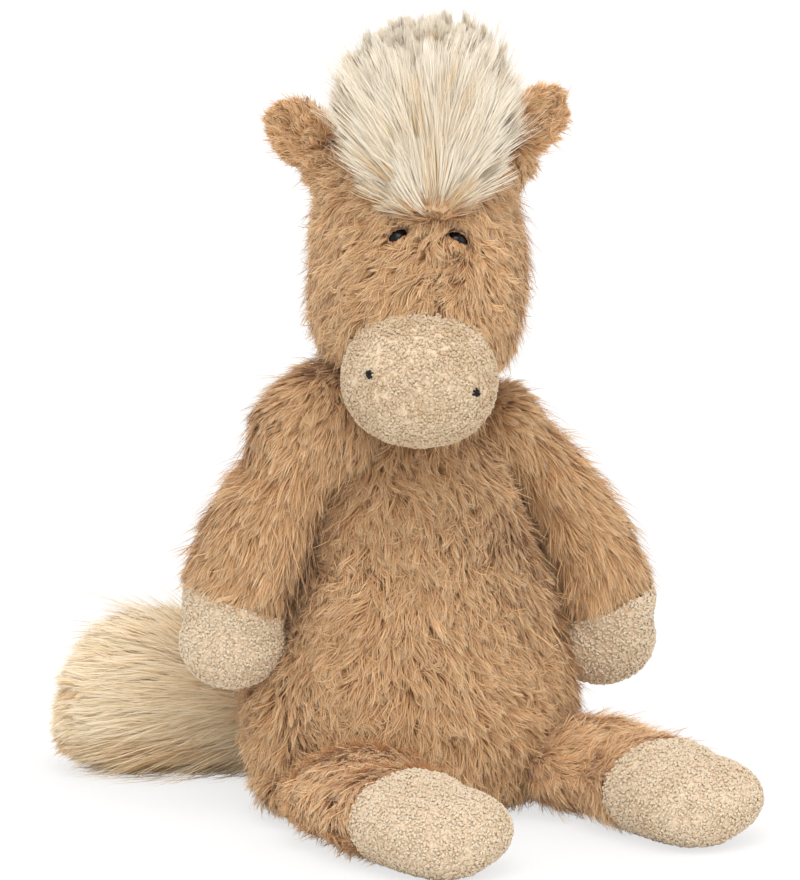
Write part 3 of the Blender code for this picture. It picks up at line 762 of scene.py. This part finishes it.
def eye_radius_of(points, axis):
    """The radius of a turned eye about its axis."""
    offsets = points - points.mean(0)
    return np.linalg.norm(offsets - np.outer(offsets @ axis, axis), axis=1).max()


neck_point, head_axes = head_frame()


def make_torso():
    """The torso: backing and fur that swirls over the belly and runs down the sides."""
    hips = [ellipsoid([hip_middle[0] * sign, *hip_middle[1:]], hip_radii) for sign in (1, -1)]
    collar = ellipsoid(middle_of("neck_fibre_plug") + [0, 0, collar_drop], collar_radii)
    skin = make_skin(["torso_cover", "torso_fibre_fill", "seat_bean_pouch"], [*hips, collar])
    make_base("torso_backing", skin, short_pile.inset, "torso", camel_backing, ["torso_cover"])
    furred = part_of(skin, centres_of(skin)[:, 2] > 0.0015)
    grow("torso_fur", furred, torso_flow, short_pile, "torso", "fur_camel", camel_fur, 11)


def torso_flow(places, normals):
    """Down, with broad swirls over the belly that fade towards the bottom."""
    flow = np.zeros_like(places)
    flow[:, 2] = -1
    flow = laid_flat(flow, normals)
    swirl = waves(places, 0.11, 12) * 0.65 + waves(places, 0.05, 13) * 0.4
    return turned(flow, normals, swirl * np.clip(places[:, 2] / 0.06, 0.35, 1))


def in_window(points, centre, axis, side, sizes):
    """Which points lie over an eye's slanted window of these half sizes."""
    right, up = eye_axes(axis)
    offsets = points - centre - up * eye_window_rise - right * eye_window_asides[side]
    slant = eye_window_slant * side
    long_way = right * math.cos(slant) - up * math.sin(slant)
    high_way = right * math.sin(slant) + up * math.cos(slant)
    over = ((offsets @ long_way) / sizes[0]) ** 2 + ((offsets @ high_way) / sizes[1]) ** 2
    ahead = offsets @ axis
    return (over < 1) & (ahead > -0.002) & (ahead < 0.02)


def round_eyes(paths, eyes, radius):
    """Hairs laid over the eyes' domes, and which of their points lie in the windows over them."""
    covered = np.zeros(paths.shape[:2], bool)
    for side, (centre, axis) in zip((1, -1), eyes):
        offsets = paths - centre
        distances = np.linalg.norm(offsets, axis=2, keepdims=True)
        inside = (distances < radius + lid_gap) & ((offsets @ axis)[..., None] > 0)
        paths = np.where(inside, centre + offsets / np.maximum(distances, 1e-6) * (radius + lid_gap), paths)
        before = np.roll(paths, 1, axis=1)
        before[:, 0] = paths[:, 0]
        for share in (0.0, 0.25, 0.5, 0.75):
            covered |= in_window(paths + (before - paths) * share, centre, axis, side, eye_window)
    return paths, covered


def make_head():
    """The head and muzzle: fur that falls away from the bridge of the nose, and looped cloth."""
    roots = []
    for side in sides:
        root = np.array(joints[f"ear_fold_{side}"]["pos_m"]) + ear_root_shifts[side]
        roots.append(ellipsoid(root, ear_root_radii))
    skin = make_skin(["head_cover", "head_fibre_fill", "muzzle_cover"], roots)
    muzzle = nearer_to(skin, "muzzle_cover", "head_cover")
    head_skin, muzzle_skin = part_of(skin, ~muzzle), part_of(skin, muzzle)
    inset = head_pile.inset * head_depth(head_skin.points)[:, None]
    make_base("head_backing", head_skin, inset, "head", camel_backing, ["head_cover"])
    wanted = [middle_of(f"nostril_stitch_{side}") + nostril_shifts[side] @ head_axes for side in sides]
    nostrils = [muzzle_skin.points[np.linalg.norm(muzzle_skin.points - point, axis=1).argmin()] for point in wanted]
    make_base(
        "muzzle_backing", muzzle_skin, loop_skin_inset, "head", loop_backing, ["muzzle_cover"]
    )
    windows = [(point, nostril_opening) for point in nostrils]
    make_loops("muzzle_loops", muzzle_skin, "head", cream_loops, 21, windows, muzzle_tone)
    eyes = [eye_line(side) for side in sides]

    def lids(places):
        near = [np.exp(-((np.linalg.norm(places - centre, axis=1) / lid_reach) ** 2)) for centre, _ in eyes]
        return lid_lift * sum(near)

    def shape(paths):
        return round_eyes(paths, eyes, eye_radius_of(mesh_arrays(nodes["eye_left"].data)[0], eyes[0][1]))

    def stop(paths):
        return beyond(paths, head_skin, muzzle_skin)

    grow(
        "head_fur", head_skin, head_flow, head_pile, "head", "fur_camel", camel_fur, 22,
        more_lift=lids, stop=stop, shape=shape, inset_share=head_depth,
    )
    for sign, side, (centre, axis) in zip((1, -1), sides, eyes):
        make_eye(side, centre, axis)
        make_lids(side, sign, centre, axis)
    for side, point in zip(sides, nostrils):
        make_nostril(side, point, muzzle_skin)


def head_depth(places):
    """The fur lies lower on the upper part of the left cheek."""
    local = in_head(places)
    aside = np.clip((local[:, 0] - narrowing_start[0]) / narrowing_width[0], 0, 1)
    return 1 + narrowing * aside * np.clip((places[:, 2] - narrowing_start[1]) / narrowing_width[1], 0, 1)


def head_flow(places, normals):
    """Down the face, and outwards on both sides of the bridge of the nose."""
    local = in_head(places)
    outward = np.outer(np.clip(local[:, 0] / 0.03, -1, 1), head_axes[0])
    flow = np.array([0, 0, -1.0]) + outward * 0.8
    flow = laid_flat(flow, normals)
    return turned(flow, normals, waves(places, 0.07, 23) * 0.6)


def make_eye(side, centre, axis):
    """A polished black dome on its shank, turned like the CAD eye."""
    points, _ = mesh_arrays(nodes[f"eye_{side}"].data)
    radius = eye_radius_of(points, axis)
    behind = -((points - centre) @ axis).min()
    angles = np.linspace(0, math.pi / 2, eye_rings)
    profile = [(radius * math.sin(angle), radius * math.cos(angle)) for angle in angles]
    profile += [(radius * 0.94, -radius * 0.16), (radius * 0.33, -radius * 0.18)]
    profile += [(radius * 0.33, -behind), (0, -behind)]
    rings = np.array(profile)
    turns = np.arange(eye_segments) * math.tau / eye_segments
    first = unit(np.cross(axis, [0, 0, 1.0]))
    second = np.cross(axis, first)
    spokes = np.cos(turns)[:, None] * first + np.sin(turns)[:, None] * second
    shape = centre + rings[:, None, :1] * spokes[None] + rings[:, None, 1:] * axis
    triangles = []
    for ring in range(len(rings) - 1):
        for step in range(eye_segments):
            low, low_next = ring * eye_segments + step, ring * eye_segments + (step + 1) % eye_segments
            triangles.append((low, low + eye_segments, low_next + eye_segments))
            triangles.append((low, low_next + eye_segments, low_next))
    mesh = new_mesh(f"eye_dome_{side}", shape.reshape(-1, 3), triangles)
    finish_piece(f"eye_dome_{side}", mesh, "head", eye_material, [f"eye_{side}"])


def make_lids(side, sign, centre, axis):
    """Short fur that lies over the dome and leaves a slit open."""
    radius = eye_radius_of(mesh_arrays(nodes[f"eye_{side}"].data)[0], axis) + lid_gap / 2
    points, triangles = ellipsoid(centre, (radius, radius, radius))
    skin = Skin(points, triangles, unit(points - centre))
    skin = part_of(skin, (centres_of(skin) - centre) @ axis > 0)
    right, up = eye_axes(axis)
    middle = centre + up * eye_window_rise + right * eye_window_asides[sign]

    def lid_flow(places, normals):
        return unit(places - middle) + [0, 0, -0.5]

    def shape(paths):
        return paths, in_window(paths, centre, axis, sign, eye_slit)

    grow(f"lid_fur_{side}", skin, lid_flow, lid_pile, "head", "fur_camel", camel_fur, 71 + sign, shape=shape)


def make_nostril(side, point, muzzle_skin):
    """Crossing stitches of thick black thread."""
    nearest_point = np.argmin(np.linalg.norm(muzzle_skin.points - np.array(point), axis=1))
    normal = muzzle_skin.normals[nearest_point]
    first = unit(np.cross(normal, [0, 0, 1.0]))
    second = np.cross(normal, first)
    paths = []
    for number in range(stitch_count):
        angle = math.pi * number / stitch_count + 0.4
        along = first * math.cos(angle) + second * math.sin(angle)
        shares = np.linspace(-1, 1, 9)
        rise = 0.0011 + 0.0003 * number - 0.0022 * np.abs(shares) ** 3
        paths.append(np.array(point) + np.outer(shares * stitch_length / 2, along) + np.outer(rise, normal))
    mesh = new_mesh(f"nostril_thread_{side}", *tubes(np.array(paths), stitch_radius, np.zeros(stitch_count), 8))
    finish_piece(f"nostril_thread_{side}", mesh, "head", black_thread, [f"nostril_stitch_{side}"])


def make_long_pile(name, node, pile, body, material, seed, flow_of, extra=(), backing=cream_backing, **options):
    """Long pile on its backing, combed by a flow function."""
    skin = make_skin([node], extra)
    inset = pile.inset
    if "base_share" in options:
        inset = inset * options["base_share"](skin.points)[:, None]
    make_base(f"{name}_backing", skin, inset, body, backing, [node])
    grow(name, skin, flow_of, pile, body, "long_fur_cream", material, seed, **options)


def forelock_flow(places, normals):
    """Up and out from the tip on the forehead, parted down the middle."""
    points, _ = mesh_arrays(nodes["forelock"].data)
    tip = points[points[:, 2].argmin()]
    way = ((places - tip) @ head_axes.T) * [1.35, 0.25, 1.0] + [0, 0, 0.008]
    way[:, 0] += np.sign(way[:, 0]) * 0.0015
    return way @ head_axes


def make_forelock():
    """The forelock, with short hairs that hide its roots at the tip."""
    make_long_pile(
        "forelock_pile", "forelock", forelock_pile, "head", cream_pile, 90, forelock_flow,
        backing=tan_backing, tone=forelock_tone_and_painted_light, inset_share=forelock_roots, base_share=forelock_base,
        more_lift=crown_lift_at,
    )
    skin = make_skin(["forelock"])
    low = part_of(skin, near_tip(centres_of(skin)) > root_zone)
    grow("forelock_roots", low, forelock_flow, root_pile, "head", "fur_camel", camel_fur, 97)


def near_tip(places):
    """How near places are to the forelock's tip on the forehead, from 0 to 1."""
    low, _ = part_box("forelock")
    return np.exp(-np.maximum(places[:, 2] - low.z, 0) / tip_reach)


def near_crown(places):
    """How near places are to the forelock's top, from 0 to 1."""
    _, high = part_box("forelock")
    return np.clip(1 - (high.z - places[:, 2]) / crown_height, 0, 1)


def crown_lift_at(places):
    """The hairs stand up at the crown."""
    return crown_lift * near_crown(places)


def forelock_sink(places):
    """The pile lies deeper at the crown and on its left side."""
    aside = np.clip(((places - neck_point) @ head_axes[0] - left_start) / left_width, 0, 1)
    return crown_depth * near_crown(places) + left_depth * aside


def forelock_base(places):
    """The backing goes deeper towards the tip as well."""
    return 1 + tip_depth * near_tip(places) + forelock_sink(places)


def forelock_roots(places):
    """The hairs start nearer to the surface towards the tip."""
    return 1 - 0.75 * near_tip(places) + forelock_sink(places)


def forelock_tone_and_painted_light(places):
    """Tan streaks along the parting and in broad bands, darker towards the tip, and painted light at the crown, where
    the standing hairs fall into shade.
    """
    local = in_head(places)
    parting = np.exp(-((local[:, 0] / parting_width) ** 2))
    # The crown term is painted light that lightens hairs standing in shade.
    return -0.3 * parting + 0.35 * waves(places, 0.03, 93) - 1.8 * near_tip(places) + 0.8 * near_crown(places)


def tail_line():
    """The tail's root, its direction and how far its solid reaches."""
    root = np.array(joints["tail_turn"]["pos_m"])
    low, high = corners_of("tail_fur")
    along = unit(np.array([low[0], high[1], root[2]]) - root)
    points, _ = mesh_arrays(nodes["tail_fur"].data)
    return root, along, ((points - root) @ along).max()


def near_tail_end(places):
    """How near places are to the tail's end, from 0 to 1."""
    root, along, end = tail_line()
    return np.clip(1 - (end - (places - root) @ along) / tail_cap, 0, 1)


def tail_lift_at(places):
    """The hairs round the tail's end stand up more."""
    share = near_tail_end(places)
    return tail_cap_lift * share * (1.6 - share)


def tail_depth(places):
    """The pile and its backing go deeper towards the tail's end."""
    return 1 + tail_cap_depth * near_tail_end(places)


def tail_stop(paths):
    """Which points of the hairs lie past the tail's ragged end."""
    root, along, end = tail_line()
    limits = end + random_source(106).uniform(*tail_ends, len(paths))
    return (paths - root) @ along > limits[:, None]


def tail_tone(places):
    """Broad streaks, tan underneath."""
    low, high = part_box("tail_fur")
    under = np.clip((low.z + 0.022 - places[:, 2]) / 0.012, 0, 1)
    return 0.7 * waves(places, 0.035, 104) - 1.2 * under


def make_tail():
    """The tail, with a narrow root of fur that goes into the torso's."""
    root = np.array(joints["tail_turn"]["pos_m"])
    neck = ellipsoid(root + tail_neck_shift, tail_neck_radii)
    make_long_pile(
        "tail_pile", "tail_fur", tail_pile, "tail", tail_cream, 100, tail_flow, [neck],
        tone=tail_tone, more_lift=tail_lift_at, stop=tail_stop, shape=lambda paths: (paths, tail_stop(paths)),
        inset_share=tail_depth, base_share=tail_depth,
    )


def mane_flow(places, normals):
    """Out from the middle of the neck to both sides, and down."""
    local = in_head(places)
    way = np.stack([np.sign(local[:, 0]) * 0.8, np.full(len(local), 0.5), np.full(len(local), -0.9)], axis=1)
    return way @ head_axes


def tail_flow(places, normals):
    """Along the tail from its root to its end, a little apart, then inwards and down over the end."""
    root, along, end = tail_line()
    offsets = places - root
    reached = offsets @ along
    spread = offsets - np.outer(reached, along)
    closing = near_tail_end(places)[:, None]
    return along + spread * (5 - 17 * closing) + [0, 0, -0.9] * closing


def make_ears():
    """The ears: short fur that runs to the tip on both faces, with a hollow down the lining that is darkened with
    painted shade, and painted light over the whole ear.
    """
    for number, side in enumerate(sides):
        names = [f"ear_back_{side}", f"ear_lining_{side}"]
        skin = make_skin(names, size=0.0012, rounds=8)
        body = f"ear_{side}"
        back, lining = (middle_of(name) for name in names)
        root = np.array(joints[f"ear_fold_{side}"]["pos_m"])
        along = unit((back + lining) / 2 - root)
        facing = lining - back
        facing = unit(facing - along * (facing @ along))
        across = np.cross(along, facing)

        def hollow(places, root=root, along=along, facing=facing, across=across, middle=(back + lining) / 2):
            heights = (places - root) @ along / ear_hollow_height - 1
            sideways = (places - root) @ across / ear_hollow_width
            front = np.clip((places - middle) @ facing / 0.002, 0, 1)
            return ear_hollow * np.exp(-(sideways**2) - heights**2) * front

        def sunk(places, root=root, along=along, across=across, hollow=hollow):
            towards_tip = np.clip((places - root) @ along / ear_hollow_height - 0.9, 0, 1)
            sideways = (places - root) @ across / ear_hollow_width
            return 1 + hollow(places) + towards_tip * np.minimum(sideways**2, 5) * ear_point

        # Painted shade in the lining's hollow and painted light over the whole ear, carried in the hairs' tone.
        def painted_ear_shading(places, hollow=hollow):
            return painted_ear_light - ear_shade * hollow(places)

        def ear_flow(places, normals, root=root, along=along):
            return unit(places - root) * 0.6 + along * 0.6

        inset = ear_pile.inset * sunk(skin.points)[:, None]
        make_base(f"{body}_backing", skin, inset, body, camel_backing, names)
        grow(
            f"{body}_fur", skin, ear_flow, ear_pile, body, "fur_camel", camel_fur, 30 + 4 * number,
            inset_share=sunk, tone=painted_ear_shading,
        )


def make_limb(side, number, limb, end, pile, flow_of, extra):
    """An arm or leg in fur with its looped hand or foot, the leg fur lightened with painted light."""
    cover, end_cover = f"{limb}_cover_{side}", f"{end}_cover_{side}"
    skin = make_skin([cover, f"{limb}_fibre_fill_{side}", end_cover, f"{end}_bean_pouch_{side}"], extra)
    at_end = nearer_to(skin, end_cover, cover, seam_shifts[end, side])
    body = f"{limb}_{side}"
    furred, looped = part_of(skin, ~at_end), part_of(skin, at_end)
    wrist = centres_of(looped).mean(0)

    def depth(places):
        away = np.clip(np.linalg.norm(places - wrist, axis=1) / wrist_reach - 1, 0, 1)
        return 1 + more_depths.get(body, 0) * away

    inset = pile.inset * depth(furred.points)[:, None]
    make_base(f"{limb}_backing_{side}", furred, inset, body, camel_backing, [cover])
    make_base(f"{end}_backing_{side}", looped, loop_skin_inset, body, loop_backing, [end_cover])
    make_loops(f"{end}_loops_{side}", looped, body, cream_loops, 40 + number)

    def stop(paths):
        return beyond(paths, furred, looped)

    # The tone lightens leg fur with painted light, as if lit from above.
    grow(
        f"{limb}_fur_{side}", furred, flow_of, pile, body, "fur_camel", camel_fur, 50 + 4 * number,
        stop=stop, inset_share=depth, tone=lambda places: painted_limb_light[limb],
    )


def make_limbs():
    """Both arms and both legs."""
    for number, side in enumerate(sides):
        sign = 1 if side == "left" else -1
        shoulder = np.array(joints[f"shoulder_{side}"]["pos_m"])
        low, high = corners_of(f"hand_cover_{side}")
        down = unit((low + high) / 2 - shoulder)

        def arm_flow(places, normals, down=down):
            return down + 0.25 * waves(places, 0.05, 80)[:, None] * np.cross(normals, down)

        fist = ellipsoid(middle_of(f"hand_cover_{side}") + hand_shifts[side], hand_radii)
        caps = [ellipsoid(shoulder + shift, radii) for shift, radii in shoulder_caps[side]]
        make_limb(side, number, "arm", "hand", arm_pile, arm_flow, [*caps, fist])
        hip = np.array(joints[f"hip_{side}"]["pos_m"])
        toe = ellipsoid(middle_of(f"foot_cover_{side}") + foot_shift, foot_radii)
        thigh = ellipsoid(hip + [thigh_shift[0] * sign, *thigh_shift[1:]], thigh_radii)

        def leg_flow(places, normals, sign=sign):
            way = np.array([0.8 * sign, -0.5, -0.35])
            return way + 0.4 * waves(places, 0.05, 81)[:, None] * np.cross(normals, way)

        make_limb(side, number + 2, "leg", "foot", leg_pile, leg_flow, [thigh, toe])


def dress_inner_nodes():
    """Materials for the CAD nodes that stay: stuffing, pouches, washers, core and seam thread."""
    by_word = {
        "fibre": fibre_material,
        "pouch": pouch_material,
        "washer": washer_material,
        "core": camel_backing,
        "closing": tan_thread,
    }
    for name, node in nodes.items():
        for word, material in by_word.items():
            if word in name:
                node.data.materials.clear()
                node.data.materials.append(material)


def make_camera():
    """A long lens at the photograph's angle, framed on the toy."""
    sideways, tilt = view_azimuth, view_elevation
    ahead = Vector((math.sin(sideways) * math.cos(tilt), math.cos(sideways) * math.cos(tilt), -math.sin(tilt)))
    right = Vector((math.cos(sideways), -math.sin(sideways), 0))
    up = right.cross(ahead)
    data = bpy.data.cameras.new("camera")
    data.lens = data.sensor_width * view_distance / view_height
    data.clip_end = 100
    camera = new_object("camera", data)
    camera.location = right * view_right_shift + up * view_up_shift - ahead * view_distance
    camera.rotation_euler = ahead.to_track_quat("-Z", "Y").to_euler()
    bpy.context.scene.camera = camera


def make_light(name, size, power, azimuth, elevation, distance=2.2):
    """A square soft light that looks at the toy's middle."""
    data = bpy.data.lights.new(name, "AREA")
    data.size = size
    data.energy = power
    light = new_object(name, data)
    turn, rise = math.radians(azimuth), math.radians(elevation)
    place = Vector((math.sin(turn) * math.cos(rise), -math.cos(turn) * math.cos(rise), math.sin(rise)))
    light.location = place * distance + Vector((0, 0, 0.17))
    light.rotation_euler = (-place).to_track_quat("-Z", "Y").to_euler()


def make_stage():
    """A white floor, a white world and soft lights."""
    mesh = bpy.data.meshes.new("floor")
    corners = [(x * floor_reach, y * floor_reach, 0) for x, y in ((-1, -1), (1, -1), (1, 1), (-1, 1))]
    mesh.from_pydata(corners, [], [(0, 1, 2, 3)])
    floor = new_object("floor", mesh)
    material = new_material("floor", 0.9)
    socket(material, "Base Color").default_value = (0.92, 0.92, 0.92, 1)
    mesh.materials.append(material)
    tree = material.node_tree
    white = tree.nodes.new("ShaderNodeEmission")
    seen = tree.nodes.new("ShaderNodeLightPath")
    share = tree.nodes.new("ShaderNodeMath")
    share.operation = "MULTIPLY"
    share.inputs[1].default_value = floor_whiteness
    mix = tree.nodes.new("ShaderNodeMixShader")
    tree.links.new(seen.outputs["Is Camera Ray"], share.inputs[0])
    tree.links.new(share.outputs["Value"], mix.inputs["Fac"])
    tree.links.new(tree.nodes["Principled BSDF"].outputs["BSDF"], mix.inputs[1])
    tree.links.new(white.outputs["Emission"], mix.inputs[2])
    tree.links.new(mix.outputs["Shader"], tree.nodes["Material Output"].inputs["Surface"])
    world = bpy.data.worlds.new("studio")
    bpy.context.scene.world = world
    world.use_nodes = True
    tree = world.node_tree
    background = tree.nodes["Background"]
    background.inputs["Color"].default_value = (1, 1, 1, 1)
    seen = tree.nodes.new("ShaderNodeLightPath")
    strength = tree.nodes.new("ShaderNodeMapRange")
    strength.inputs["To Min"].default_value = world_strength
    strength.inputs["To Max"].default_value = 1.0
    tree.links.new(seen.outputs["Is Camera Ray"], strength.inputs["Value"])
    tree.links.new(strength.outputs["Result"], background.inputs["Strength"])
    make_light("key", 1.4, 13, -40, 50)
    make_light("front", 2.0, 12, -22, 8, 2.5)
    make_light("top", 1.4, 12, -20, 72)
    make_light("fill", 1.6, 5, 40, 30)
    make_light("back", 1.8, 14, 165, 35, 2.5)
    bpy.context.scene.view_settings.view_transform = "Standard"


make_camera()
make_stage()
make_torso()
make_head()
make_forelock()
make_long_pile("mane_pile", "mane", mane_pile, "head", cream_pile, 95, mane_flow)
make_tail()
make_ears()
make_limbs()
dress_inner_nodes()
